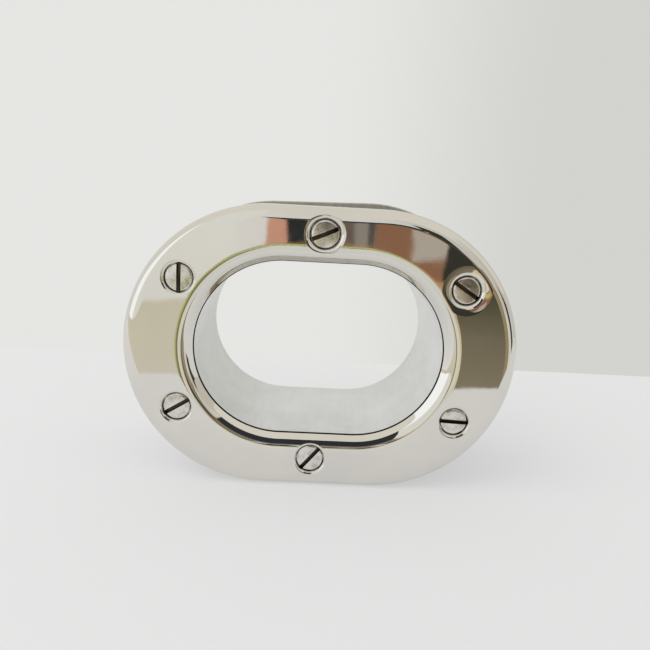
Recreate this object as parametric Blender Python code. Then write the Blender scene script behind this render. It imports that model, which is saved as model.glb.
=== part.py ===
"""Oval bulwark hawse pipe: two flat-faced flanges with rolled mouths on a telescopic oval tube.

The tube's axis runs along +Y. The outboard face looks towards -Y. The part stands on the flat lower
edge of its outboard flange and on the inboard one's lower left corner, with its origin on the floor below
the middle of their rims. The outboard half
(flange, outer sleeve) holds six slotted screws. The inboard half (flange, inner liner, six barrel nuts)
slides out along +Y as the screws are turned, to suit the thickness of the bulwark.
"""

import math

import bmesh
import bpy
from mathutils import Matrix

MM = 0.001

# Oval outlines: a rectangle's half length along X, and the radius of its round ends.
RIM_HALF_STRAIGHT, RIM_RADIUS = 25.0 * MM, 65.0 * MM
BORE_HALF_STRAIGHT, BORE_RADIUS = 17.0 * MM, 40.0 * MM
MOUTH_RADIUS = 40.45 * MM

# The hand-ground rims' centre from the tube's axis, and how far the inboard rim is turned about that centre.
RIM_SHIFT_X, RIM_SHIFT_Z = 1.0 * MM, -0.2 * MM
INBOARD_RIM_TURN = math.radians(1.6)

# Along the tube. A flange's depths are counted from its mouth seam towards the bulwark.
SEAM_TO_SEAM = 71.8 * MM
FACE_HEIGHT = 4.5 * MM
RIM_DEPTH = 0.7 * MM
BACK_DEPTH = 5.0 * MM

# The polished front: the width of the rolled mouth, of the rim's round edge, and of the back's broken edge.
ROLL_WIDTH, ROLL_POWER = 7.8 * MM, 3
RIM_ROUND = 6.5 * MM
BACK_CHAMFER = 0.6 * MM

# Tubes.
TUBE_WALL = 2.0 * MM
SLIDING_GAP = 0.4 * MM
FITTED_GAP = 0.3 * MM
SEAM_GAP = 0.5 * MM
SLEEVE_SEAT_DEPTH = 1.5 * MM

# M8 slotted cheese-head screws and barrel nuts.
HEAD_RADIUS, HEAD_HEIGHT = 6.2 * MM, 5.0 * MM
HEAD_SINK_DEPTH = 1.55 * MM
SLOT_WIDTH, SLOT_DEPTH = 1.9 * MM, 2.1 * MM
SCREW_RADIUS, SCREW_LENGTH, SCREW_POINT = 4.0 * MM, 60.0 * MM, 0.8 * MM
BARREL_RADIUS, BARREL_LENGTH, BARREL_FLOOR = 5.0 * MM, 32.0 * MM, 4.0 * MM
COUNTERBORE_RADIUS = 6.5 * MM
SCREW_HOLE_RADIUS = 4.5 * MM
BARREL_HOLE_RADIUS = 5.4 * MM
CHAMFER_START_DEPTH = -3.2 * MM

# Fixing places from the tube's axis, marked out by hand so a little uneven: name, x, z, slot angle in degrees.
FIXINGS = (
    ("top", 0.0 * MM, 53.0 * MM, 24.0),
    ("upper_right", 64.5 * MM, 31.2 * MM, -33.0),
    ("lower_right", 64.3 * MM, -30.4 * MM, -2.0),
    ("bottom", -1.8 * MM, -51.5 * MM, 50.0),
    ("lower_left", -64.0 * MM, -28.8 * MM, 32.0),
    ("upper_left", -63.6 * MM, 30.7 * MM, 90.0),
)
NUT_SLOT_TURN = 37.0

# Facets.
OVAL_ARC_STEPS = 22
ROLL_STEPS = 6
RIM_STEPS = 5
HOLE_SIDES = 24
FIXING_SIDES = 24

# Which way a piece's own front looks: along -Y, or turned half round to look along +Y.
OUTBOARD, INBOARD = 1, -1

AXIS_X, AXIS_Z = -RIM_SHIFT_X, RIM_RADIUS - RIM_SHIFT_Z
SEAM_Y = SEAM_TO_SEAM / 2


def clear_scene():
    for thing in list(bpy.data.objects):
        bpy.data.objects.remove(thing, do_unlink=True)


def metal(name, colour, roughness):
    material = bpy.data.materials.new(name)
    material.use_nodes = True
    shader = material.node_tree.nodes["Principled BSDF"]
    shader.inputs["Base Color"].default_value = (*colour, 1.0)
    shader.inputs["Metallic"].default_value = 1.0
    shader.inputs["Roughness"].default_value = roughness
    return material


def object_from(bm, name, material=None, parent=None, place=(0.0, 0.0, 0.0), facing=OUTBOARD):
    """Makes a bmesh a named, outward-facing object that shades smooth over gentle edges."""
    bmesh.ops.recalc_face_normals(bm, faces=bm.faces[:])
    mesh = bpy.data.meshes.new(name)
    bm.to_mesh(mesh)
    bm.free()
    mesh.shade_smooth()
    mesh.set_sharp_from_angle(angle=math.radians(35))
    thing = bpy.data.objects.new(name, mesh)
    bpy.context.scene.collection.objects.link(thing)
    if material:
        mesh.materials.append(material)
    thing.parent = parent
    thing.location = place
    thing.rotation_euler = (0.0, 0.0, 0.0 if facing == OUTBOARD else math.pi)
    return thing


def empty(name, place):
    thing = bpy.data.objects.new(name, None)
    bpy.context.scene.collection.objects.link(thing)
    thing.location = place
    return thing


def oval(half_straight, radius):
    """The (x, z) points of an oval, counter-clockwise from the lower right corner of its straight."""
    points = []
    for side, start in ((1, -90), (-1, 90)):
        for step in range(OVAL_ARC_STEPS + 1):
            angle = math.radians(start + 180 * step / OVAL_ARC_STEPS)
            points.append((side * half_straight + radius * math.cos(angle), radius * math.sin(angle)))
    return points


def oval_ring(bm, rings):
    """A closed ring-shaped solid through ovals, each (half straight, radius, centre x, centre z, turn, y)."""
    loops = []
    for half, radius, centre_x, centre_z, turn, y in rings:
        loop = []
        for x, z in oval(half, radius):
            turned_x = x * math.cos(turn) - z * math.sin(turn)
            turned_z = x * math.sin(turn) + z * math.cos(turn)
            loop.append(bm.verts.new((centre_x + turned_x, y, centre_z + turned_z)))
        loops.append(loop)
    for first, second in zip(loops, loops[1:] + loops[:1]):
        for index in range(len(first)):
            after = (index + 1) % len(first)
            bm.faces.new((first[index], first[after], second[after], second[index]))


def bore_ring(radius, y):
    """An oval about the tube's axis."""
    return BORE_HALF_STRAIGHT, radius, 0.0, 0.0, 0.0, y


def rim_ring(inset, y, facing):
    """An oval inset from the rim. The turned inboard one is lifted, so that its low corner is on the floor."""
    turn = 0.0 if facing == OUTBOARD else INBOARD_RIM_TURN
    lift = RIM_HALF_STRAIGHT * math.sin(turn)
    centre = RIM_SHIFT_X * facing, RIM_SHIFT_Z + lift
    return RIM_HALF_STRAIGHT, RIM_RADIUS - inset, *centre, turn * facing, y


def face_rings(facing):
    """The flange's front, from the mouth seam over the flat face to the back edge of the rim."""
    rings = []
    for step in range(ROLL_STEPS + 1):
        share = step / ROLL_STEPS
        depth = -FACE_HEIGHT * (1 - (1 - share) ** ROLL_POWER)
        rings.append(bore_ring(MOUTH_RADIUS + ROLL_WIDTH * share, depth))
    drop = RIM_DEPTH + FACE_HEIGHT
    for step in range(RIM_STEPS + 1):
        angle = math.pi / 2 * step / RIM_STEPS
        inset = RIM_ROUND * (1 - math.sin(angle))
        rings.append(rim_ring(inset, RIM_DEPTH - drop * math.cos(angle), facing))
    rings.append(rim_ring(0.0, BACK_DEPTH - BACK_CHAMFER, facing))
    rings.append(rim_ring(BACK_CHAMFER, BACK_DEPTH, facing))
    return rings


def lathe(bm, profile, sides, x=0.0, z=0.0):
    """A turned body about a line along Y through (x, z), from profile points (radius, y)."""
    rings = []
    for radius, y in profile:
        ring = []
        for side in range(sides):
            angle = 2 * math.pi * side / sides
            ring.append(bm.verts.new((x + radius * math.cos(angle), y, z + radius * math.sin(angle))))
        rings.append(ring)
    for first, second in zip(rings, rings[1:]):
        for index in range(sides):
            after = (index + 1) % sides
            bm.faces.new((first[index], first[after], second[after], second[index]))
    bm.faces.new(rings[0])
    bm.faces.new(rings[-1])


def cut(thing, cutter):
    cutter.hide_render = True
    cutter.display_type = "WIRE"
    modifier = thing.modifiers.new(cutter.name, "BOOLEAN")
    modifier.operation = "DIFFERENCE"
    modifier.solver = "EXACT"
    modifier.object = cutter


def fixing_holes(name, hole_radius, parent, facing):
    """Six stepped, chamfered holes that seat the heads below the polished face."""
    seat = HEAD_SINK_DEPTH + FITTED_GAP
    front = -FACE_HEIGHT - 3 * MM
    bm = bmesh.new()
    for _, x, z, _ in FIXINGS:
        profile = (
            (COUNTERBORE_RADIUS + CHAMFER_START_DEPTH - front, front),
            (COUNTERBORE_RADIUS, CHAMFER_START_DEPTH),
            (COUNTERBORE_RADIUS, seat),
            (hole_radius, seat),
            (hole_radius, BACK_DEPTH + MM),
        )
        lathe(bm, profile, HOLE_SIDES, x * facing, z)
    return object_from(bm, name, None, parent, facing=facing)


def flange(name, rebate_rings, hole_radius, material, parent, facing):
    """A flange: its polished front, a rebate for its tube at the back, and six fixing holes."""
    bm = bmesh.new()
    oval_ring(bm, face_rings(facing) + rebate_rings)
    thing = object_from(bm, name, material, parent, facing=facing)
    cut(thing, fixing_holes(name + "_holes", hole_radius, parent, facing))


def tube(name, inner_radius, start_y, end_y, material, parent):
    """An oval tube along Y, in the frame of its parent."""
    bm = bmesh.new()
    outer_radius = inner_radius + TUBE_WALL
    corners = ((inner_radius, start_y), (outer_radius, start_y), (outer_radius, end_y), (inner_radius, end_y))
    oval_ring(bm, [bore_ring(radius, y) for radius, y in corners])
    object_from(bm, name, material, parent)


def head_profile():
    """A slotted cheese head's turned outline, from its slightly domed top to its seat."""
    return [
        (0.45 * HEAD_RADIUS, -HEAD_HEIGHT),
        (0.86 * HEAD_RADIUS, -HEAD_HEIGHT + 0.2 * MM),
        (0.97 * HEAD_RADIUS, -HEAD_HEIGHT + 0.55 * MM),
        (HEAD_RADIUS, -HEAD_HEIGHT + 1.1 * MM),
        (HEAD_RADIUS, 0.0),
    ]


def driver_slot(name, angle, parent, place, facing):
    bm = bmesh.new()
    bmesh.ops.create_cube(bm, size=1.0)
    size = Matrix.Diagonal((2.4 * HEAD_RADIUS, 2 * SLOT_DEPTH, SLOT_WIDTH, 1.0))
    bmesh.ops.transform(bm, matrix=size, verts=bm.verts)
    turn = Matrix.Rotation(-math.radians(angle), 4, "Y")
    bmesh.ops.transform(bm, matrix=Matrix.Translation((0, -HEAD_HEIGHT, 0)) @ turn, verts=bm.verts)
    return object_from(bm, name, None, parent, place, facing)


def headed_fixing(name, body_profile, angle, material, parent, place, facing):
    """A turned screw or nut whose origin is on its axis, at the seat of its head."""
    bm = bmesh.new()
    lathe(bm, head_profile() + body_profile, FIXING_SIDES)
    thing = object_from(bm, name, material, parent, place, facing)
    cut(thing, driver_slot(name + "_slot", angle, parent, place, facing))


def build():
    clear_scene()
    outboard = empty("outboard_half", (AXIS_X, -SEAM_Y, AXIS_Z))
    inboard = empty("inboard_half", (AXIS_X, SEAM_Y, AXIS_Z))

    liner_radius = BORE_RADIUS
    sleeve_radius = liner_radius + TUBE_WALL + SLIDING_GAP
    sleeve_rebate = sleeve_radius + TUBE_WALL + FITTED_GAP
    liner_rebate = liner_radius + TUBE_WALL + FITTED_GAP

    flange(
        "outboard_flange",
        [
            bore_ring(sleeve_rebate, BACK_DEPTH),
            bore_ring(sleeve_rebate, SLEEVE_SEAT_DEPTH),
            bore_ring(sleeve_radius, SLEEVE_SEAT_DEPTH),
            bore_ring(sleeve_radius, 0.0),
        ],
        SCREW_HOLE_RADIUS,
        metal("outboard_mirror_steel", (0.78, 0.77, 0.74), 0.04),
        outboard,
        OUTBOARD,
    )
    flange(
        "inboard_flange",
        [bore_ring(liner_rebate, BACK_DEPTH), bore_ring(liner_rebate, 0.0)],
        BARREL_HOLE_RADIUS,
        metal("inboard_mirror_steel", (0.78, 0.77, 0.74), 0.04),
        inboard,
        INBOARD,
    )
    tube(
        "outer_sleeve",
        sleeve_radius,
        SLEEVE_SEAT_DEPTH + FITTED_GAP,
        SEAM_TO_SEAM - BACK_DEPTH - SEAM_GAP,
        metal("sleeve_satin_steel", (0.66, 0.66, 0.65), 0.32),
        outboard,
    )
    tube(
        "inner_liner",
        liner_radius,
        -SEAM_TO_SEAM + SEAM_GAP,
        -FITTED_GAP,
        metal("liner_satin_steel", (0.70, 0.70, 0.70), 0.28),
        inboard,
    )
    shank = [
        (SCREW_RADIUS, 0.0),
        (SCREW_RADIUS, SCREW_LENGTH - SCREW_POINT),
        (SCREW_RADIUS - SCREW_POINT, SCREW_LENGTH),
    ]
    thread_radius = SCREW_RADIUS + FITTED_GAP
    barrel = [
        (BARREL_RADIUS, 0.0),
        (BARREL_RADIUS, BARREL_LENGTH),
        (thread_radius, BARREL_LENGTH),
        (thread_radius, BARREL_FLOOR),
    ]
    for where, x, z, angle in FIXINGS:
        steel = metal(f"screw_steel_{where}", (0.60, 0.58, 0.54), 0.30)
        place = (x, HEAD_SINK_DEPTH, z)
        headed_fixing(f"screw_{where}", shank, angle, steel, outboard, place, OUTBOARD)
        steel = metal(f"nut_steel_{where}", (0.60, 0.58, 0.54), 0.30)
        place = (x, -HEAD_SINK_DEPTH, z)
        turned = angle + NUT_SLOT_TURN
        headed_fixing(f"barrel_nut_{where}", barrel, turned, steel, inboard, place, INBOARD)


build()
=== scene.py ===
"""Looks of the oval bulwark hawse pipe: polished flanges, satin tubes, slotted screws and barrel nuts.

Lengths are in metres, in the frame's own axes: the tube runs along +Y, its outboard face looks
towards -Y and +Z is up. The outboard half stands still, and the inboard half slides along +Y.
"""

import math

import bmesh
import bpy
from mathutils import Matrix, Vector
from mathutils.geometry import delaunay_2d_cdt


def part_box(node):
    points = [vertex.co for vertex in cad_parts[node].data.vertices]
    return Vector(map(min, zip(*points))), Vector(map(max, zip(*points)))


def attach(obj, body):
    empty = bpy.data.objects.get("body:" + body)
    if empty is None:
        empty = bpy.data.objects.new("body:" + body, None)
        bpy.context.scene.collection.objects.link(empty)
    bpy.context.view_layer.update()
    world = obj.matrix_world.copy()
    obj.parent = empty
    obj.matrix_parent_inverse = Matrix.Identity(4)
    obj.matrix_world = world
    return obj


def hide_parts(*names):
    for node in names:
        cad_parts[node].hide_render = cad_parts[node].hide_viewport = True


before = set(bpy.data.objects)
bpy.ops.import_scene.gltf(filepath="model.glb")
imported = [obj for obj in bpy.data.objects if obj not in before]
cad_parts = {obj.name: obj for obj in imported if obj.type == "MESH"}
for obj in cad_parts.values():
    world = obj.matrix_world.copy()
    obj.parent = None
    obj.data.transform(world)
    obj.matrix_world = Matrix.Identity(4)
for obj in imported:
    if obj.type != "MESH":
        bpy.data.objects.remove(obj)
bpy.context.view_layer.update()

MM = 0.001

# ---------------------------------------------------------------- sizes, from the frame and the design

FIXING_NAMES = ("top", "upper_right", "lower_right", "bottom", "lower_left", "upper_left")
SLOT_ANGLES = {
    "top": 24,
    "upper_right": -33,
    "lower_right": -2,
    "bottom": 50,
    "lower_left": 32,
    "upper_left": 90,
}
NUT_SLOT_TURN = 37

flange_low, flange_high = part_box("outboard_flange")
liner_low, liner_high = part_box("inner_liner")
sleeve_low, sleeve_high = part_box("outer_sleeve")

# Tubes, about their axis.
TUBE_WALL = 2.0 * MM
FITTED_GAP = 0.3 * MM
AXIS_X = (liner_low.x + liner_high.x) / 2
AXIS_Z = (liner_low.z + liner_high.z) / 2
BORE_RADIUS = (liner_high.z - liner_low.z) / 2 - TUBE_WALL
BORE_HALF = (liner_high.x - liner_low.x) / 2 - TUBE_WALL - BORE_RADIUS
SLEEVE_RADIUS = (sleeve_high.z - sleeve_low.z) / 2 - TUBE_WALL

# The flanges. Depths are counted from the mouth seam towards the bulwark.
FACE_HEIGHT = 4.5 * MM
SEAM_Y = -flange_low.y - FACE_HEIGHT
BACK_DEPTH = flange_high.y - flange_low.y - FACE_HEIGHT
RIM_RADIUS = (flange_high.z - flange_low.z) / 2
RIM_HALF = (flange_high.x - flange_low.x) / 2 - RIM_RADIUS
RIM_SHIFT_X = (flange_low.x + flange_high.x) / 2 - AXIS_X
RIM_SHIFT_Z = (flange_low.z + flange_high.z) / 2 - AXIS_Z
inboard_low, inboard_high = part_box("inboard_flange")
INBOARD_RIM_LIFT = (inboard_low.z + inboard_high.z - flange_low.z - flange_high.z) / 2
INBOARD_RIM_TURN = math.asin(((inboard_high.z - inboard_low.z) / 2 - RIM_RADIUS) / RIM_HALF)
MOUTH_RADIUS = 40.45 * MM
ROLL_WIDTH, ROLL_POWER, ROLL_END_SLOPE = 7.8 * MM, 3, 1.0
RIM_ROUND, RIM_DEPTH = 6.5 * MM, 0.7 * MM
BACK_CHAMFER = 0.6 * MM
DULL_DEPTH = BACK_DEPTH - BACK_CHAMFER * 0.75
SLEEVE_SEAT_DEPTH = 1.5 * MM

# Fixings: M8 slotted cheese heads, their counterbores and threads.
HEAD_RADIUS, HEAD_HEIGHT, HEAD_SINK_DEPTH = 6.2 * MM, 5.0 * MM, 1.55 * MM
HEAD_EDGE_ROUND, HEAD_DOME, HEAD_NECK = 0.8 * MM, 0.14 * MM, 0.25 * MM
HEAD_WEAR, HEAD_WEAR_ANGLE = 0.16 * MM, 40
SLOT_WIDTH, SLOT_DEPTH = 1.9 * MM, 2.1 * MM
COUNTERBORE_RADIUS = 6.5 * MM
SCREW_HOLE_RADIUS, BARREL_HOLE_RADIUS = 4.5 * MM, 5.4 * MM
SCREW_RADIUS, THREAD_DEPTH, THREAD_PITCH = 4.0 * MM, 0.65 * MM, 1.25 * MM
SCREW_LENGTH, PLAIN_SHANK = 60.0 * MM, 19.0 * MM
SCREW_POINT, SHANK_TUCK = 0.9 * MM, 0.2 * MM
THREAD_FLANK, THREAD_CREST, THREAD_RUN_OUT = 1.25, 0.12, 1.5
BARREL_RADIUS, BARREL_LENGTH, BARREL_EDGE, BARREL_FLOOR = 5.0 * MM, 32.0 * MM, 0.4 * MM, 4.0 * MM

# Polishing has rounded each counterbore's mouth by its own amount, and worn a shallow dish about one.
MOUTH_ROUNDS = {"top": 2.8 * MM, "upper_right": 2.3 * MM}
USUAL_MOUTH_ROUND = 1.5 * MM
DISH_NAME, DISH_RADIUS, DISH_EDGE = "upper_right", 11.3 * MM, 0.1 * MM
DISH_SLOPES = math.radians(2.8), math.radians(6.0)

# Mesh densities.
STRAIGHT_STEPS, ARC_STEPS = 24, 96
OVAL_STEPS = 2 * (STRAIGHT_STEPS + ARC_STEPS)
ROLL_STEPS, FACE_STEPS, RIM_STEPS = 16, 10, 14
HOLE_SIDES, HOLE_ROUND_STEPS, DISH_STEPS = 72, 8, 4
HEAD_SIDES, HEAD_DOME_STEPS, HEAD_ROUND_STEPS = 96, 8, 5
SHANK_SIDES, ROWS_PER_TURN = 48, 10
GRID_CLEARANCE = 0.7 * MM
SLIVER_AREA = 0.001 * MM * MM
NORMAL_STEPS = 0.02, 0.002

# ---------------------------------------------------------------- small helpers


def linked(name, mesh, material=None):
    """A new object of the mesh in the scene, with the material in place of the mesh's own if given."""
    if material:
        mesh.materials.clear()
        mesh.materials.append(material)
    thing = bpy.data.objects.new(name, mesh)
    bpy.context.scene.collection.objects.link(thing)
    return thing


def smooth(mesh, degrees=35):
    """Shades a mesh smooth except at edges sharper than the angle."""
    mesh.shade_smooth()
    mesh.set_sharp_from_angle(angle=math.radians(degrees))


def mesh_of(name, vertices, faces):
    """A closed mesh from points and faces, with its faces turned to look outwards."""
    mesh = bpy.data.meshes.new(name)
    mesh.from_pydata([tuple(v) for v in vertices], [], faces)
    bm = bmesh.new()
    bm.from_mesh(mesh)
    bmesh.ops.recalc_face_normals(bm, faces=bm.faces)
    bm.to_mesh(mesh)
    bm.free()
    return mesh


# ---------------------------------------------------------------- the oval and the flange's section


def oval_point(step, half, radius):
    """(x, z) on an oval at a step round it: top straight, right end, bottom straight, left end."""
    step = step % OVAL_STEPS
    if step < STRAIGHT_STEPS:
        return -half + 2 * half * step / STRAIGHT_STEPS, radius
    step -= STRAIGHT_STEPS
    if step < ARC_STEPS:
        angle = math.pi / 2 - math.pi * step / ARC_STEPS
        return half + radius * math.cos(angle), radius * math.sin(angle)
    step -= ARC_STEPS
    if step < STRAIGHT_STEPS:
        return half - 2 * half * step / STRAIGHT_STEPS, -radius
    step -= STRAIGHT_STEPS
    angle = -math.pi / 2 - math.pi * step / ARC_STEPS
    return -half + radius * math.cos(angle), radius * math.sin(angle)


def rim_place(facing):
    """The rim oval's centre (x, z) from the tube's axis and its turn, in a flange's own frame."""
    turn, lift = (0.0, 0.0) if facing == 1 else (-INBOARD_RIM_TURN, INBOARD_RIM_LIFT)
    return RIM_SHIFT_X * facing, RIM_SHIFT_Z + lift, turn


def turned(x, z, turn):
    return x * math.cos(turn) - z * math.sin(turn), x * math.sin(turn) + z * math.cos(turn)


def reach(x, z, half):
    """How far a point is from an oval's middle line."""
    return math.hypot(max(abs(x) - half, 0.0), z)


def roll_depth(share):
    """Depth of the mouth's roll, which no longer steepens near the seam."""
    steepest = 1 - math.sqrt(ROLL_END_SLOPE * ROLL_WIDTH / (ROLL_POWER * FACE_HEIGHT))
    if share < steepest:
        return roll_depth(steepest) + ROLL_END_SLOPE * ROLL_WIDTH * (steepest - share)
    return -FACE_HEIGHT * (1 - (1 - share) ** ROLL_POWER)


def rim_depth(share):
    return RIM_DEPTH - (RIM_DEPTH + FACE_HEIGHT) * math.sqrt(1 - share * share)


def face_depth(x, z, facing):
    """Depth of the polished front behind the seam plane (negative in front of it)."""
    across_roll = (reach(x, z, BORE_HALF) - MOUTH_RADIUS) / ROLL_WIDTH
    if across_roll < 1:
        return roll_depth(max(across_roll, 0.0))
    centre_x, centre_z, turn = rim_place(facing)
    out = reach(*turned(x - centre_x, z - centre_z, -turn), RIM_HALF)
    across_rim = (out - RIM_RADIUS + RIM_ROUND) / RIM_ROUND
    return rim_depth(min(max(across_rim, 0.0), 1.0))


def front_point(step, way, facing):
    """A point of the front: way 0 to 1 is the mouth's roll, 1 to 2 the flat face, 2 to 3 the rim."""
    crest, shoulder = MOUTH_RADIUS + ROLL_WIDTH, RIM_RADIUS - RIM_ROUND
    if way < 1:
        half, radius, share, depth = BORE_HALF, MOUTH_RADIUS + ROLL_WIDTH * way, 0.0, roll_depth(way)
    elif way < 2:
        share = way - 1
        half, radius = BORE_HALF + (RIM_HALF - BORE_HALF) * share, crest + (shoulder - crest) * share
        depth = -FACE_HEIGHT
    else:
        across = math.sin(math.pi / 2 * (way - 2))
        half, radius, share, depth = RIM_HALF, shoulder + RIM_ROUND * across, 1.0, rim_depth(across)
    centre_x, centre_z, turn = rim_place(facing)
    x, z = turned(*oval_point(step, half, radius), turn * share)
    return Vector((x + centre_x * share, depth, z + centre_z * share))


def mouth_section(way, round_radius, dished):
    """(radius, drop) of a counterbore's mouth: way 0 to 1 is its dish, if any, and 1 to 2 its round."""
    start = DISH_SLOPES[1] if dished else 0.0
    first, last = math.tan(DISH_SLOPES[0]), math.tan(DISH_SLOPES[1])
    round_start = COUNTERBORE_RADIUS + round_radius * (1 - math.sin(start))
    width = DISH_RADIUS - round_start
    if way < 0:
        return DISH_RADIUS - DISH_EDGE * way, 0.0
    if way < 1:
        run = width * way
        return DISH_RADIUS - run, first * run + (last - first) * run * run / (2 * width)
    turn = start + (math.pi / 2 - start) * (way - 1)
    dish_drop = (first + last) / 2 * width if dished else 0.0
    radius = COUNTERBORE_RADIUS + round_radius * (1 - math.sin(turn))
    return radius, dish_drop + round_radius * (math.cos(start) - math.cos(turn))


def surface_normal(point, u, v, v_low, v_high):
    """Outward unit normal of a parametric front surface, by differences from v_low to v_high."""
    du, dv = NORMAL_STEPS
    v0, v1 = max(v - dv, v_low), min(v + dv, v_high)
    across = point(u + du, v) - point(u - du, v)
    along = point(u, v1) - point(u, v0)
    return across.cross(along).normalized()


class Shell:
    """Vertices and faces of one closed mesh, with exact normals where its surface is a mirror."""

    def __init__(self):
        self.vertices, self.faces, self.normals, self.mirror = [], [], {}, []

    def add(self, point, normal=None):
        self.vertices.append(Vector(point))
        if normal is not None:
            self.normals[len(self.vertices) - 1] = normal
        return len(self.vertices) - 1

    def face(self, corners, mirror=False):
        self.faces.append(tuple(corners))
        self.mirror.append(mirror)

    def band(self, first, second, mirror=False):
        """Quads between two closed rings of as many vertices."""
        count = len(first)
        for i in range(count):
            j = (i + 1) % count
            self.face((first[i], first[j], second[j], second[i]), mirror)

    def triangles_between(self, edges, mirror=False):
        """Triangles over the flat (x, z) area that the edges close off between them."""
        index = sorted({vertex for edge in edges for vertex in edge})
        place = {vertex: i for i, vertex in enumerate(index)}
        flat = [Vector((self.vertices[v].x, self.vertices[v].z)) for v in index]
        lines = [(place[first], place[second]) for first, second in edges]
        ends = [(flat[first], flat[second]) for first, second in lines]
        points, _, faces, origins, _, _ = delaunay_2d_cdt(flat, lines, [], 0, 1e-9)
        for corners in faces:
            a, b, c = (points[corner] for corner in corners)
            sliver = abs((b - a).cross(c - a)) < SLIVER_AREA
            if not sliver and inside(ends, (a + b + c) / 3):
                self.face([index[origins[corner][0]] for corner in corners], mirror)

    def mesh(self, name, faces_inboard):
        """The mesh, turned half round about Z where it looks inboard, with its mirror normals set."""
        mesh = mesh_of(name, self.vertices, self.faces)
        smooth(mesh, 30)
        mesh.materials.append(materials["mirror"])
        mesh.materials.append(materials["back"])
        for polygon in mesh.polygons:
            polygon.material_index = 1 if polygon.center.y > DULL_DEPTH else 0
        normals = [Vector(n.vector) for n in mesh.corner_normals]
        for polygon in mesh.polygons:
            if self.mirror[polygon.index]:
                for loop in polygon.loop_indices:
                    normals[loop] = self.normals[mesh.loops[loop].vertex_index]
        mesh.normals_split_custom_set([tuple(n) for n in normals])
        if faces_inboard:
            mesh.transform(Matrix.Rotation(math.pi, 4, "Z"))
        return mesh


def inside(edges, point):
    """Whether a flat point is in the area that the edges close off, holes left out."""
    odd = False
    for (x0, z0), (x1, z1) in edges:
        crosses = (z0 > point.y) != (z1 > point.y)
        if crosses and point.x < (x1 - x0) * (point.y - z0) / (z1 - z0) + x0:
            odd = not odd
    return odd


def loop_edges(loop):
    """The edges of a closed loop of vertices."""
    return list(zip(loop, loop[1:] + loop[:1]))


def fixing_places():
    """x and z of each fixing from the tube's axis, where the CAD screws are."""
    places = {}
    for name in FIXING_NAMES:
        low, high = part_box("screw_" + name)
        places[name] = ((low.x + high.x) / 2 - AXIS_X, (low.z + high.z) / 2 - AXIS_Z)
    return places


def mouth_rings(shell, name, hx, hz, facing):
    """Rings of a counterbore's mouth, from the face in to its wall, and their outermost radius."""
    round_radius = MOUTH_ROUNDS.get(name, USUAL_MOUTH_ROUND)
    dished = name == DISH_NAME
    ways = [1 + k / HOLE_ROUND_STEPS for k in range(HOLE_ROUND_STEPS + 1)]
    if dished:
        ways = [-1.0] + [k / DISH_STEPS for k in range(DISH_STEPS)] + ways

    def mouth_point(side, way):
        angle = 2 * math.pi * side / HOLE_SIDES
        radius, drop = mouth_section(way, round_radius, dished)
        x, z = hx + radius * math.cos(angle), hz + radius * math.sin(angle)
        return Vector((x, face_depth(x, z, facing) + drop, z))

    rings = []
    for way in ways:
        ring = []
        for side in range(HOLE_SIDES):
            low, high = (-1.0, 0.0) if way < 0 else (0.0 if dished else 1.0, 2.0)
            normal = surface_normal(mouth_point, side, way, low, high)
            if way == 2:
                angle = 2 * math.pi * side / HOLE_SIDES
                normal = Vector((-math.cos(angle), 0.0, -math.sin(angle)))
            ring.append(shell.add(mouth_point(side, way), normal))
        rings.append(ring)
    return rings, mouth_section(ways[0], round_radius, dished)[0]


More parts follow.
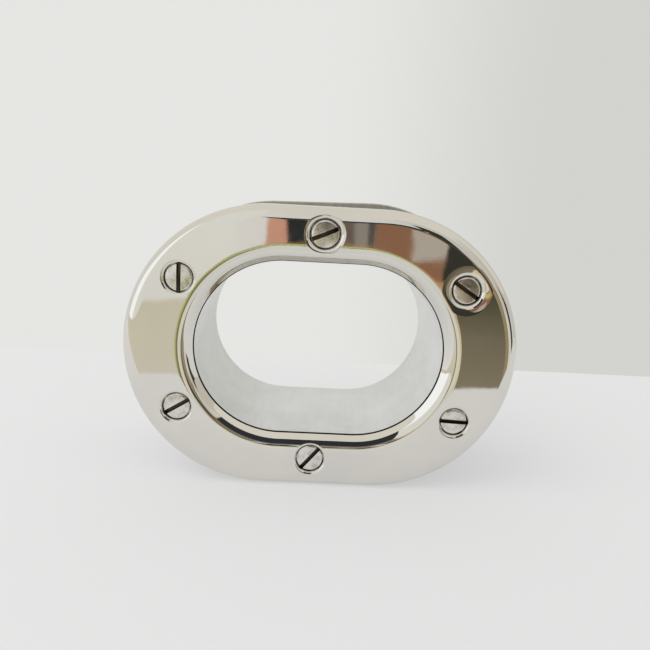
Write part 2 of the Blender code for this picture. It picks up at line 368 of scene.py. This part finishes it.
def flange_shell(holes, through_radius, rebate_rings, facing):
    """A flange in its own frame: x across, y as depth behind the seam plane, z from the tube's axis."""
    shell = Shell()
    ways = [k / ROLL_STEPS for k in range(ROLL_STEPS)]
    ways += [1 + k / FACE_STEPS for k in range(FACE_STEPS)]
    ways += [2 + k / RIM_STEPS for k in range(RIM_STEPS + 1)]

    def own_point(step, way):
        return front_point(step, way, facing)

    rings = []
    for way in ways:
        ring = []
        for step in range(OVAL_STEPS):
            normal = surface_normal(own_point, step, way, 0.0, 3.0)
            ring.append(shell.add(own_point(step, way), normal))
        rings.append(ring)

    mouths = {name: mouth_rings(shell, name, x, z, facing) for name, (x, z) in holes.items()}

    # The grid stays clear of each counterbore's rounded mouth, and triangles fill the space between.
    cut_edges = {name: {} for name in holes}
    for first, second in zip(rings, rings[1:]):
        for i in range(OVAL_STEPS):
            j = (i + 1) % OVAL_STEPS
            corners = (first[i], first[j], second[j], second[i])
            near = None
            for name, (hx, hz) in holes.items():
                clear = mouths[name][1] + GRID_CLEARANCE
                points = [shell.vertices[v] for v in corners]
                if min(math.hypot(point.x - hx, point.z - hz) for point in points) < clear:
                    near = name
            if near is None:
                shell.face(corners, True)
                continue
            for a, b in zip(corners, corners[1:] + corners[:1]):
                edge = (min(a, b), max(a, b))
                cut_edges[near][edge] = cut_edges[near].get(edge, 0) + 1

    seat = HEAD_SINK_DEPTH + FITTED_GAP
    back_edges = []
    for name, (hx, hz) in holes.items():
        hole_rings = mouths[name][0]
        for first, second in zip(hole_rings, hole_rings[1:]):
            shell.band(first, second, True)

        boundary = [edge for edge, uses in cut_edges[name].items() if uses == 1]
        shell.triangles_between(boundary + loop_edges(hole_rings[0]), True)

        def round_ring(radius, depth, hx=hx, hz=hz):
            ring = []
            for side in range(HOLE_SIDES):
                angle = 2 * math.pi * side / HOLE_SIDES
                x, z = hx + radius * math.cos(angle), hz + radius * math.sin(angle)
                ring.append(shell.add((x, depth, z)))
            return ring

        wall = [
            round_ring(COUNTERBORE_RADIUS, seat),
            round_ring(through_radius, seat),
            round_ring(through_radius, BACK_DEPTH),
        ]
        for first, second in zip([hole_rings[-1]] + wall, wall):
            shell.band(first, second)
        back_edges += loop_edges(wall[-1])

    def oval_ring(half, radius, depth, centre_x=0.0, centre_z=0.0, turn=0.0):
        ring = []
        for step in range(OVAL_STEPS):
            x, z = turned(*oval_point(step, half, radius), turn)
            ring.append(shell.add((x + centre_x, depth, z + centre_z)))
        return ring

    side_ring = oval_ring(RIM_HALF, RIM_RADIUS, BACK_DEPTH - BACK_CHAMFER, *rim_place(facing))
    back_ring = oval_ring(RIM_HALF, RIM_RADIUS - BACK_CHAMFER, BACK_DEPTH, *rim_place(facing))
    shell.band(rings[-1], side_ring)
    shell.band(side_ring, back_ring)
    seam_ring = (MOUTH_RADIUS, 0.0)
    inner = [oval_ring(BORE_HALF, radius, depth) for radius, depth in (*rebate_rings, seam_ring)]
    for first, second in zip(inner, inner[1:] + [rings[0]]):
        shell.band(first, second)

    for loop in (back_ring, inner[0]):
        back_edges += loop_edges(loop)
    shell.triangles_between(back_edges)
    return shell


def tube_mesh(name, inner_radius, start_y, end_y, edge):
    """An oval tube along Y with its edges broken by a small round."""
    outer_radius = inner_radius + TUBE_WALL
    outline = []
    corners = (
        (inner_radius + edge, start_y + edge, 270, 180),
        (inner_radius + edge, end_y - edge, 180, 90),
        (outer_radius - edge, end_y - edge, 90, 0),
        (outer_radius - edge, start_y + edge, 0, -90),
    )
    for radius, y, first, last in corners:
        for k in range(4):
            angle = math.radians(first + (last - first) * k / 3)
            outline.append((radius + edge * math.cos(angle), y + edge * math.sin(angle)))
    vertices, faces = [], []
    for radius, y in outline:
        for step in range(OVAL_STEPS):
            x, z = oval_point(step, BORE_HALF, radius)
            vertices.append((x + AXIS_X, y, z + AXIS_Z))
    for ring in range(len(outline)):
        first, second = ring * OVAL_STEPS, (ring + 1) % len(outline) * OVAL_STEPS
        for step in range(OVAL_STEPS):
            after = (step + 1) % OVAL_STEPS
            faces.append((first + step, first + after, second + after, second + step))
    mesh = mesh_of(name, vertices, faces)
    smooth(mesh, 50)
    return mesh


# ---------------------------------------------------------------- fixings


def turned_mesh(name, profile, sides):
    """A closed body turned about Y from (radius, y) points, with flat ends."""
    vertices, faces = [], []
    for radius, y in profile:
        for side in range(sides):
            angle = 2 * math.pi * side / sides
            vertices.append((radius * math.cos(angle), y, radius * math.sin(angle)))
    for ring in range(len(profile) - 1):
        for side in range(sides):
            after = (side + 1) % sides
            first, second = ring * sides, (ring + 1) * sides
            faces.append((first + side, first + after, second + after, second + side))
    faces.append(tuple(range(sides)))
    faces.append(tuple((len(profile) - 1) * sides + side for side in range(sides)))
    return mesh_of(name, vertices, faces)


def head_mesh(name, below):
    """A slotted cheese head with worn edges, seat at y = 0, slot along X; below closes it."""
    profile = []
    for k in range(1, HEAD_DOME_STEPS + 1):
        radius = (HEAD_RADIUS - HEAD_EDGE_ROUND) * k / HEAD_DOME_STEPS
        sink = HEAD_DOME * (radius / HEAD_RADIUS) ** 2
        profile.append((radius, -HEAD_HEIGHT + sink))
    top = profile[-1][1]
    for k in range(1, HEAD_ROUND_STEPS + 1):
        angle = math.pi / 2 * k / HEAD_ROUND_STEPS
        inward = HEAD_EDGE_ROUND * (1 - math.sin(angle))
        down = HEAD_EDGE_ROUND * (1 - math.cos(angle))
        profile.append((HEAD_RADIUS - inward, top + down))
    profile += below
    head = linked(name, turned_mesh(name, profile, HEAD_SIDES), materials["screw"])
    bm = bmesh.new()
    bmesh.ops.create_cube(bm, size=1.0)
    size = Matrix.Diagonal((3 * HEAD_RADIUS, 2 * SLOT_DEPTH, SLOT_WIDTH, 1.0))
    bmesh.ops.transform(bm, matrix=Matrix.Translation((0, -HEAD_HEIGHT, 0)) @ size, verts=bm.verts)
    slot_mesh = bpy.data.meshes.new(name + "_slot")
    bm.to_mesh(slot_mesh)
    bm.free()
    slot = bpy.data.objects.new(name + "_slot", slot_mesh)
    bpy.context.scene.collection.objects.link(slot)
    cut = head.modifiers.new("slot", "BOOLEAN")
    cut.operation, cut.solver, cut.object = "DIFFERENCE", "EXACT", slot
    worn = head.modifiers.new("worn_edges", "BEVEL")
    worn.width, worn.segments, worn.limit_method = HEAD_WEAR, 3, "ANGLE"
    worn.angle_limit = math.radians(HEAD_WEAR_ANGLE)
    bpy.context.view_layer.update()
    evaluated = head.evaluated_get(bpy.context.evaluated_depsgraph_get())
    mesh = bpy.data.meshes.new_from_object(evaluated)
    mesh.name = name
    smooth(mesh, 32)
    bpy.data.objects.remove(head)
    bpy.data.objects.remove(slot)
    return mesh


def shank_mesh(name):
    """The screw's shank below its head: plain, then a right-hand thread to a chamfered point."""
    sides = SHANK_SIDES
    rows = int((SCREW_LENGTH - PLAIN_SHANK) / THREAD_PITCH * ROWS_PER_TURN)
    stations = [-SHANK_TUCK, 0.35 * PLAIN_SHANK, 0.7 * PLAIN_SHANK]
    stations += [PLAIN_SHANK + (SCREW_LENGTH - PLAIN_SHANK) * row / rows for row in range(rows + 1)]
    vertices, faces = [], []
    for y in stations:
        for side in range(sides):
            turn = side / sides
            phase = (y / THREAD_PITCH + turn) % 1.0
            cut = THREAD_FLANK * (1 - abs(2 * phase - 1)) - THREAD_CREST
            groove = THREAD_DEPTH * min(1.0, max(0.0, cut))
            fade = min(1.0, max(0.0, (y - PLAIN_SHANK) / (THREAD_RUN_OUT * THREAD_PITCH)))
            point = max(0.0, y - (SCREW_LENGTH - SCREW_POINT))
            radius = min(SCREW_RADIUS - groove * fade, SCREW_RADIUS - point)
            angle = 2 * math.pi * turn
            vertices.append((radius * math.cos(angle), y, radius * math.sin(angle)))
    for ring in range(len(stations) - 1):
        for side in range(sides):
            after = (side + 1) % sides
            first, second = ring * sides, (ring + 1) * sides
            faces.append((first + side, first + after, second + after, second + side))
    faces.append(tuple(range(sides)))
    faces.append(tuple((len(stations) - 1) * sides + side for side in range(sides)))
    mesh = mesh_of(name, vertices, faces)
    smooth(mesh, 50)
    return mesh


def barrel_profile():
    """The barrel nut below its head: outer wall, broken edge and threaded bore."""
    bore = SCREW_RADIUS + FITTED_GAP
    return [
        (HEAD_RADIUS, -HEAD_NECK),
        (HEAD_RADIUS - HEAD_NECK, 0.0),
        (BARREL_RADIUS, 0.0),
        (BARREL_RADIUS, BARREL_LENGTH - BARREL_EDGE),
        (BARREL_RADIUS - BARREL_EDGE, BARREL_LENGTH),
        (bore, BARREL_LENGTH),
        (bore, BARREL_FLOOR),
    ]


def fixing_object(name, mesh, x, z, angle, facing):
    """Places a fixing on its axis, seated in the flange that faces outboard (1) or inboard (-1)."""
    thing = linked(name, mesh, mesh.materials[0] if mesh.materials else materials["screw"])
    about = Matrix.Rotation(0.0 if facing == 1 else math.pi, 4, "Z")
    turn = about @ Matrix.Rotation(-math.radians(angle), 4, "Y")
    seat_y = facing * (-SEAM_Y + HEAD_SINK_DEPTH)
    thing.matrix_world = Matrix.Translation((AXIS_X + x, seat_y, AXIS_Z + z)) @ turn
    return thing


# ---------------------------------------------------------------- materials


class Nodes:
    """Short names for building one material's node tree."""

    def __init__(self, name):
        self.material = bpy.data.materials.new(name)
        self.material.use_nodes = True
        self.tree = self.material.node_tree
        self.shader = self.tree.nodes["Principled BSDF"]

    def new(self, kind, **settings):
        node = self.tree.nodes.new(kind)
        for key, value in settings.items():
            if key in node.inputs:
                node.inputs[key].default_value = value
            else:
                setattr(node, key, value)
        return node

    def link(self, source, target):
        self.tree.links.new(source, target)

    def noise(self, coordinates, scale, detail=3.0, roughness=0.5, stretch=None):
        if stretch:
            mapping = self.new("ShaderNodeMapping")
            mapping.inputs["Scale"].default_value = stretch
            self.link(coordinates, mapping.inputs["Vector"])
            coordinates = mapping.outputs["Vector"]
        node = self.new("ShaderNodeTexNoise")
        node.inputs["Scale"].default_value = scale
        node.inputs["Detail"].default_value = detail
        node.inputs["Roughness"].default_value = roughness
        self.link(coordinates, node.inputs["Vector"])
        return node.outputs["Fac"]

    def ramp(self, value, stops):
        node = self.new("ShaderNodeValToRGB")
        ramp = node.color_ramp
        while len(ramp.elements) < len(stops):
            ramp.elements.new(0.5)
        for element, (position, colour) in zip(ramp.elements, stops):
            element.position = position
            element.color = (*colour, 1.0) if len(colour) == 3 else colour
        self.link(value, node.inputs["Fac"])
        return node.outputs["Color"]

    def range(self, value, low, high, to_low, to_high):
        node = self.new("ShaderNodeMapRange")
        keys = ("From Min", "From Max", "To Min", "To Max")
        for key, number in zip(keys, (low, high, to_low, to_high)):
            node.inputs[key].default_value = number
        self.link(value, node.inputs["Value"])
        return node.outputs["Result"]

    def mix(self, factor, first, second):
        node = self.new("ShaderNodeMix", data_type="RGBA")
        self.link(factor, node.inputs[0])
        for socket, value in ((node.inputs[6], first), (node.inputs[7], second)):
            if isinstance(value, tuple):
                socket.default_value = (*value, 1.0)
            else:
                self.link(value, socket)
        return node.outputs[2]

    def bump(self, height, distance, strength=1.0, before=None):
        node = self.new("ShaderNodeBump")
        node.inputs["Distance"].default_value = distance
        node.inputs["Strength"].default_value = strength
        self.link(height, node.inputs["Height"])
        if before:
            self.link(before, node.inputs["Normal"])
        return node.outputs["Normal"]


def mirror_steel():
    """Hand-polished stainless casting: slight waviness, hairline polishing marks and faint smears."""
    n = Nodes("mirror_stainless")
    where = n.new("ShaderNodeTexCoord").outputs["Object"]
    n.shader.inputs["Metallic"].default_value = 1.0
    smear = n.noise(where, 22, 4, 0.6)
    colour = n.ramp(smear, ((0.35, (0.745, 0.725, 0.68)), (0.70, (0.79, 0.77, 0.72))))
    n.link(colour, n.shader.inputs["Base Color"])
    fine = n.noise(where, 260, 5, 0.6)
    n.link(n.range(fine, 0.35, 0.75, 0.015, 0.05), n.shader.inputs["Roughness"])
    waviness = n.noise(where, 34, 1.5, 0.4)
    wavy = n.bump(waviness, 0.00035, 0.5)
    hairline = n.noise(where, 700, 2, 0.5, (1.0, 1.0, 7.0))
    n.link(n.bump(hairline, 0.000004, 0.35, wavy), n.shader.inputs["Normal"])
    return n.material


def back_steel():
    """The flanges' backs, left as ground: even, dull grey with a coarse grain."""
    n = Nodes("ground_back_stainless")
    where = n.new("ShaderNodeTexCoord").outputs["Object"]
    n.shader.inputs["Metallic"].default_value = 1.0
    grain = n.noise(where, 420, 5, 0.7, (1.0, 1.0, 0.15))
    colour = n.ramp(grain, ((0.3, (0.40, 0.385, 0.34)), (0.7, (0.52, 0.50, 0.45))))
    n.link(colour, n.shader.inputs["Base Color"])
    n.link(n.range(grain, 0.3, 0.7, 0.38, 0.52), n.shader.inputs["Roughness"])
    n.link(n.bump(grain, 0.00004, 0.5), n.shader.inputs["Normal"])
    return n.material


def satin_steel():
    """Satin tube: fine grain along its length, a little staining, and painted shade on the liner's end
    at the seam.
    """
    n = Nodes("satin_stainless")
    where = n.new("ShaderNodeTexCoord").outputs["Object"]
    n.shader.inputs["Metallic"].default_value = 1.0
    stain = n.noise(where, 30, 4, 0.6)
    colour = n.ramp(stain, ((0.30, (0.75, 0.745, 0.73)), (0.75, (0.85, 0.85, 0.85))))
    axes = n.new("ShaderNodeSeparateXYZ")
    n.link(where, axes.inputs[0])
    # Painted shade: the liner's end face and its first 0.08 mm are painted near black, fading out by
    # 0.16 mm. This stands in for the shade down in the seam gap.
    end = liner_low.y
    seam = n.range(axes.outputs["Y"], end + 0.08 * MM, end + 0.16 * MM, 1.0, 0.0)
    n.link(n.mix(seam, colour, (0.02, 0.018, 0.015)), n.shader.inputs["Base Color"])
    grain = n.noise(where, 900, 3, 0.6, (1.0, 0.06, 1.0))
    n.link(n.range(grain, 0.3, 0.7, 0.30, 0.46), n.shader.inputs["Roughness"])
    n.link(n.bump(grain, 0.00002, 0.4), n.shader.inputs["Normal"])
    return n.material


def screw_steel():
    """Turned, handled steel: mottled, scratched, and painted dark down in the slot for its dirt and
    shade.
    """
    n = Nodes("screw_stainless")
    where = n.new("ShaderNodeTexCoord").outputs["Object"]
    info = n.new("ShaderNodeObjectInfo")
    shift = n.new("ShaderNodeVectorMath", operation="ADD")
    n.link(where, shift.inputs[0])
    n.link(info.outputs["Location"], shift.inputs[1])
    place = shift.outputs["Vector"]
    n.shader.inputs["Metallic"].default_value = 1.0
    blotch = n.noise(place, 260, 4, 0.65)
    shades = (0.32, (0.52, 0.49, 0.44)), (0.5, (0.73, 0.71, 0.68)), (0.72, (0.82, 0.81, 0.79))
    colour = n.ramp(blotch, shades)
    axes = n.new("ShaderNodeSeparateXYZ")
    n.link(where, axes.inputs[0])
    # Dirt and painted shade: the slot's walls and floor are painted dark brown from 0.5 mm below the
    # head's top, reaching full strength by 1.3 mm. The mask reads only depth and distance from the
    # slot's middle plane. So a dark stripe as wide as the slot also runs down both sides of the head,
    # the shank and the barrel nut.
    slot_dirt_and_shade_top, slot_dirt_and_shade_full = -HEAD_HEIGHT + 0.5 * MM, -HEAD_HEIGHT + 1.3 * MM
    down_slot = n.range(axes.outputs["Y"], slot_dirt_and_shade_top, slot_dirt_and_shade_full, 0.0, 1.0)
    off_slot = n.new("ShaderNodeMath", operation="ABSOLUTE")
    n.link(axes.outputs["Z"], off_slot.inputs[0])
    slot_side = SLOT_WIDTH / 2
    near_slot = n.range(off_slot.outputs[0], slot_side + 0.02 * MM, slot_side + 0.10 * MM, 1.0, 0.0)
    slot_dirt_and_shade = n.new("ShaderNodeMath", operation="MULTIPLY")
    n.link(down_slot, slot_dirt_and_shade.inputs[0])
    n.link(near_slot, slot_dirt_and_shade.inputs[1])
    n.link(n.mix(slot_dirt_and_shade.outputs[0], colour, (0.055, 0.042, 0.03)), n.shader.inputs["Base Color"])
    scratch = n.noise(place, 900, 4, 0.7, (0.25, 1.0, 1.6))
    n.link(n.range(scratch, 0.3, 0.7, 0.12, 0.26), n.shader.inputs["Roughness"])
    n.link(n.bump(scratch, 0.00003, 0.5), n.shader.inputs["Normal"])
    return n.material


materials = {
    "mirror": mirror_steel(),
    "back": back_steel(),
    "satin": satin_steel(),
    "screw": screw_steel(),
}

# ---------------------------------------------------------------- the object


def make_flanges():
    holes = fixing_places()
    sleeve_bore, sleeve_rebate = SLEEVE_RADIUS, SLEEVE_RADIUS + TUBE_WALL + FITTED_GAP
    liner_rebate = BORE_RADIUS + TUBE_WALL + FITTED_GAP
    outboard_rebate = (
        (sleeve_rebate, BACK_DEPTH),
        (sleeve_rebate, SLEEVE_SEAT_DEPTH),
        (sleeve_bore, SLEEVE_SEAT_DEPTH),
        (sleeve_bore, 0.0),
    )
    inboard_rebate = ((liner_rebate, BACK_DEPTH), (liner_rebate, 0.0))
    for body, node, facing, through, rebate in (
        ("outboard_half", "outboard_flange", 1, SCREW_HOLE_RADIUS, outboard_rebate),
        ("inboard_half", "inboard_flange", -1, BARREL_HOLE_RADIUS, inboard_rebate),
    ):
        own_holes = {name: (x * facing, z) for name, (x, z) in holes.items()}
        shell = flange_shell(own_holes, through, rebate, facing)
        mesh = shell.mesh(node + "_polished", facing == -1)
        flange = linked(node + "_polished", mesh)
        flange.location = (AXIS_X, -facing * SEAM_Y, AXIS_Z)
        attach(flange, body)
        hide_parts(node)


def make_tubes():
    for body, node, radius, low, high, edge in (
        ("outboard_half", "outer_sleeve", SLEEVE_RADIUS, sleeve_low, sleeve_high, 0.35 * MM),
        ("inboard_half", "inner_liner", BORE_RADIUS, liner_low, liner_high, 0.3 * MM),
    ):
        mesh = tube_mesh(node + "_satin", radius, low.y, high.y, edge)
        tube = linked(node + "_satin", mesh, materials["satin"])
        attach(tube, body)
        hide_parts(node)


def make_fixings():
    plain_neck = [(HEAD_RADIUS, -HEAD_NECK), (HEAD_RADIUS - HEAD_NECK, 0.0)]
    screw_head = head_mesh("screw_head", plain_neck)
    shank = shank_mesh("screw_shank")
    nut = head_mesh("barrel_nut", barrel_profile())
    for name, (x, z) in fixing_places().items():
        angle = SLOT_ANGLES[name]
        head = fixing_object(f"screw_{name}_head", screw_head, x, z, angle, 1)
        rod = fixing_object(f"screw_{name}_shank", shank, x, z, angle, 1)
        for piece in (head, rod):
            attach(piece, name + "_screw")
            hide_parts("screw_" + name)
        barrel = fixing_object(f"barrel_nut_{name}_turned", nut, x, z, angle + NUT_SLOT_TURN, -1)
        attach(barrel, "inboard_half")
        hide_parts("barrel_nut_" + name)


# ---------------------------------------------------------------- stage, light and camera

TABLE_FRONT, TABLE_BACK, TABLE_SIDE = -0.212, 0.19, 1.0
WALL_Y, CANOPY_Z, CEILING_Z = -1.5, 0.134, 2.4
POLISH_SHARES = 0.77, 0.75, 0.70
CAMERA_PITCH, CAMERA_ROLL, CAMERA_YAW = math.radians(11.65), math.radians(3.15), math.radians(1.78)
CAMERA_PLACE = AXIS_X - 0.00684, -SEAM_Y - 0.2891, AXIS_Z + 0.0715
CAMERA_LENS = 36.0


def bright_cloth():
    """The white sheet under the object: matt, and pale even in the object's shadow."""
    n = Nodes("white_sheet")
    n.shader.inputs["Base Color"].default_value = (0.36, 0.36, 0.36, 1.0)
    n.shader.inputs["Roughness"].default_value = 0.9
    n.shader.inputs["Emission Color"].default_value = (0.425, 0.427, 0.435, 1.0)
    n.shader.inputs["Emission Strength"].default_value = 1.0
    return n.material


def linear(level):
    """The linear value of a display level from 0 to 255."""
    level = level / 255
    return level / 12.92 if level <= 0.04045 else ((level + 0.055) / 1.055) ** 2.4


def glowing(name, colours):
    """A glow that the polished steel shows as the given display colours, from a card's foot up."""
    n = Nodes(name)
    n.shader.inputs["Base Color"].default_value = (0.0, 0.0, 0.0, 1.0)
    n.shader.inputs["Roughness"].default_value = 1.0
    n.shader.inputs["Specular IOR Level"].default_value = 0.0
    n.shader.inputs["Emission Strength"].default_value = 1.0
    shown = []
    for colour in colours:
        shown.append(tuple(linear(level) / share for level, share in zip(colour, POLISH_SHARES)))
    if len(shown) == 1:
        n.shader.inputs["Emission Color"].default_value = (*shown[0], 1.0)
        return n.material
    axes = n.new("ShaderNodeSeparateXYZ")
    n.link(n.new("ShaderNodeTexCoord").outputs["Generated"], axes.inputs[0])
    stops = [(k / (len(shown) - 1), colour) for k, colour in enumerate(shown)]
    n.link(n.ramp(axes.outputs["Z"], stops), n.shader.inputs["Emission Color"])
    return n.material


def make_table():
    """A flat sheet that ends behind the object."""
    corners = [
        (-TABLE_SIDE, TABLE_FRONT, 0.0),
        (TABLE_SIDE, TABLE_FRONT, 0.0),
        (TABLE_SIDE, TABLE_BACK, 0.0),
        (-TABLE_SIDE, TABLE_BACK, 0.0),
    ]
    mesh = bpy.data.meshes.new("table")
    mesh.from_pydata(corners, [], [(0, 1, 2, 3)])
    linked("table", mesh, bright_cloth())


def reflection_card(name, corners, *colours):
    """A flat glowing card that only reflections see."""
    mesh = bpy.data.meshes.new(name)
    mesh.from_pydata(corners, [], [tuple(range(len(corners)))])
    card = linked(name, mesh, glowing(name, colours))
    card.visible_camera = False
    card.visible_diffuse = False
    card.visible_shadow = False
    card.visible_transmission = False


def upright_card(name, y, left, right, bottom, top, *colours, lean=0.0):
    """A reflection card facing the outboard flange, its top moved sideways by lean."""
    corners = [(left, y, bottom), (right, y, bottom), (right + lean, y, top), (left + lean, y, top)]
    reflection_card(name, corners, *colours)


def oval_card(name, y, centre_x, centre_z, radius, colour):
    """A reflection card of the mouth's own shape, facing the outboard flange."""
    half = radius * BORE_HALF / (MOUTH_RADIUS + ROLL_WIDTH)
    points = [oval_point(step, half, radius) for step in range(OVAL_STEPS)]
    reflection_card(name, [(centre_x + x, y, centre_z + z) for x, z in points], colour)


def make_reflections():
    """The room in front as plain shapes: pale to the left, brown and dark green to the right.

    A wall shape has its left, right, bottom and top, its top's lean to the right, and its colours.
    """
    beiges = (198, 192, 176), (197, 191, 173), (192, 184, 161)
    olives = (126, 116, 96), (108, 100, 80), (66, 64, 48)
    wall = (
        ("far_left_window", -9.0, -1.75, -0.85, 4.0, 0.0, (240, 241, 236)),
        ("left_low_wall", -9.0, -0.30, -0.85, -0.17, 0.0, *beiges),
        ("left_wall", -1.75, -0.20, -0.17, 4.0, 0.0, (210, 208, 197)),
        ("left_curtain", -0.20, -0.13, -0.17, 1.2, 0.0, (208, 204, 196)),
        ("low_middle", -0.30, 0.385, -0.85, -0.10, 0.0, (200, 199, 188)),
        ("pink_brown_panel", -0.13, -0.045, -0.10, 0.25, 0.0, (188, 140, 115)),
        ("black_panel", -0.045, 0.02, -0.10, 0.25, -0.05, (42, 44, 42)),
        ("brown_panel", 0.02, 0.11, -0.10, 0.25, 0.0, (100, 86, 76)),
        ("grey_panel", 0.105, 0.15, -0.10, 0.25, 0.0, (132, 124, 112)),
        ("dark_panel", 0.147, 0.172, -0.10, 0.25, 0.0, (92, 88, 80), (50, 46, 42)),
        ("brown_wall", 0.172, 0.39, -0.20, 0.25, 0.0, (136, 98, 74), (122, 88, 64)),
        ("pale_notice", 0.268, 0.365, -0.028, 0.058, 0.0, (166, 156, 141)),
        ("right_floor", 0.385, 0.62, -0.85, -0.40, 0.0, (126, 116, 96)),
        ("right_low_wall", 0.385, 0.62, -0.40, -0.09, 0.0, *olives),
        ("right_black_panel", 0.345, 0.62, -0.10, 0.75, 0.08, (50, 50, 42)),
        ("right_olive_wall", 0.62, 1.35, -0.85, 0.30, 0.0, (140, 127, 98)),
        ("right_pale_wall", 1.35, 2.5, -0.85, 0.10, 0.0, (200, 196, 182)),
        ("right_high_olive", 1.9, 9.0, 0.35, 3.0, 0.0, (186, 178, 162)),
        ("right_dark_wall", 2.5, 5.2, -0.85, 0.9, 0.0, (60, 58, 50)),
        ("far_right_wall", 5.2, 9.0, -0.85, 0.9, 0.0, (205, 202, 192)),
    )
    for layer, (name, left, right, bottom, top, lean, *colours) in enumerate(wall):
        upright_card(name, WALL_Y + 0.003 * layer, left, right, bottom, top, *colours, lean=lean)

    # Low shapes in front of the wall: ovals round a pale one, and an upright patch on either side.
    low_y = WALL_Y + 0.1
    ovals = (
        ("low_brown_shape", 0.033, -0.264, 0.264, (158, 118, 90)),
        ("low_green_shape", 0.028, -0.266, 0.258, (168, 172, 106)),
        ("low_dark_shape", 0.041, -0.292, 0.232, (84, 88, 60)),
        ("low_pale_shape", 0.045, -0.300, 0.228, (200, 199, 188)),
    )
    for layer, (name, centre_x, centre_z, radius, colour) in enumerate(ovals):
        oval_card(name, low_y + 0.004 * layer, centre_x, centre_z, radius, colour)
    upright_card("low_olive_shape", low_y + 0.02, -0.28, -0.13, -0.46, -0.12, (126, 118, 74), lean=0.04)
    creams = (206, 200, 172), (200, 188, 152), (172, 130, 94)
    upright_card("low_brown_corner", low_y + 0.03, 0.26, 0.385, -0.48, -0.07, *creams, lean=-0.03)

    # A dark edge just above the part's top, and the pale ceiling over all.
    near = (0.06, -0.10, CANOPY_Z), (-0.035, -0.10, CANOPY_Z)
    middle = (-0.03, -0.36, CANOPY_Z), (0.10, -0.36, CANOPY_Z)
    far = (-0.06, -0.66, CANOPY_Z), (0.8, -0.66, CANOPY_Z)
    reflection_card("dark_canopy", middle + near, (44, 46, 50))
    reflection_card("olive_canopy", far + middle[::-1], (112, 104, 84))
    ceiling = [(x, y, CEILING_Z) for x, y in ((-9.0, -3.0), (9.0, -3.0), (9.0, 2.0), (-9.0, 2.0))]
    reflection_card("ceiling", ceiling, (206, 201, 187))


def make_world():
    """Even daylight off white walls, a little darker to the right behind the object."""
    world = bpy.data.worlds.new("room")
    bpy.context.scene.world = world
    world.use_nodes = True
    nodes, links = world.node_tree.nodes, world.node_tree.links
    where = nodes.new("ShaderNodeTexCoord")
    axes = nodes.new("ShaderNodeSeparateXYZ")
    ramp = nodes.new("ShaderNodeValToRGB")
    ramp.color_ramp.interpolation = "EASE"
    ramp.color_ramp.elements[0].position = 0.0
    ramp.color_ramp.elements[0].color = (0.79, 0.79, 0.77, 1.0)
    ramp.color_ramp.elements[1].position = 0.36
    ramp.color_ramp.elements[1].color = (0.65, 0.655, 0.62, 1.0)
    links.new(where.outputs["Generated"], axes.inputs[0])
    links.new(axes.outputs["X"], ramp.inputs[0])
    links.new(ramp.outputs["Color"], nodes["Background"].inputs["Color"])
    nodes["Background"].inputs["Strength"].default_value = 1.0


def make_light():
    """A soft window light from the upper left in front, left out of reflections."""
    data = bpy.data.lights.new("window", "AREA")
    data.shape, data.size, data.size_y, data.energy = "RECTANGLE", 1.2, 1.0, 7.0
    data.color = (1.0, 0.99, 0.97)
    window = bpy.data.objects.new("window", data)
    bpy.context.scene.collection.objects.link(window)
    window.visible_glossy = False
    window.location = (-0.9, -0.5, 1.2)
    aim = Vector((0, 0, 0.05)) - window.location
    window.rotation_euler = aim.to_track_quat("-Z", "Y").to_euler()


def make_camera():
    """A camera in front and above, with the named pitch, roll and yaw."""
    data = bpy.data.cameras.new("camera")
    data.sensor_width, data.lens = 36.0, CAMERA_LENS
    data.clip_start = 0.01
    camera = bpy.data.objects.new("camera", data)
    bpy.context.scene.collection.objects.link(camera)
    level = math.cos(CAMERA_PITCH)
    ahead, aside = math.cos(CAMERA_YAW) * level, math.sin(CAMERA_YAW) * level
    forward = Vector((aside, ahead, -math.sin(CAMERA_PITCH)))
    right = Vector((math.cos(CAMERA_YAW), -math.sin(CAMERA_YAW), 0.0))
    upward = right.cross(forward)
    tilted_right = right * math.cos(CAMERA_ROLL) + upward * math.sin(CAMERA_ROLL)
    tilted_up = upward * math.cos(CAMERA_ROLL) - right * math.sin(CAMERA_ROLL)
    rows = zip(tilted_right, tilted_up, -forward, CAMERA_PLACE)
    camera.matrix_world = Matrix((*rows, (0.0, 0.0, 0.0, 1.0)))
    bpy.context.scene.camera = camera


make_camera()
make_flanges()
make_tubes()
make_fixings()
make_table()
make_reflections()
make_world()
make_light()
bpy.context.scene.view_settings.view_transform = "Standard"
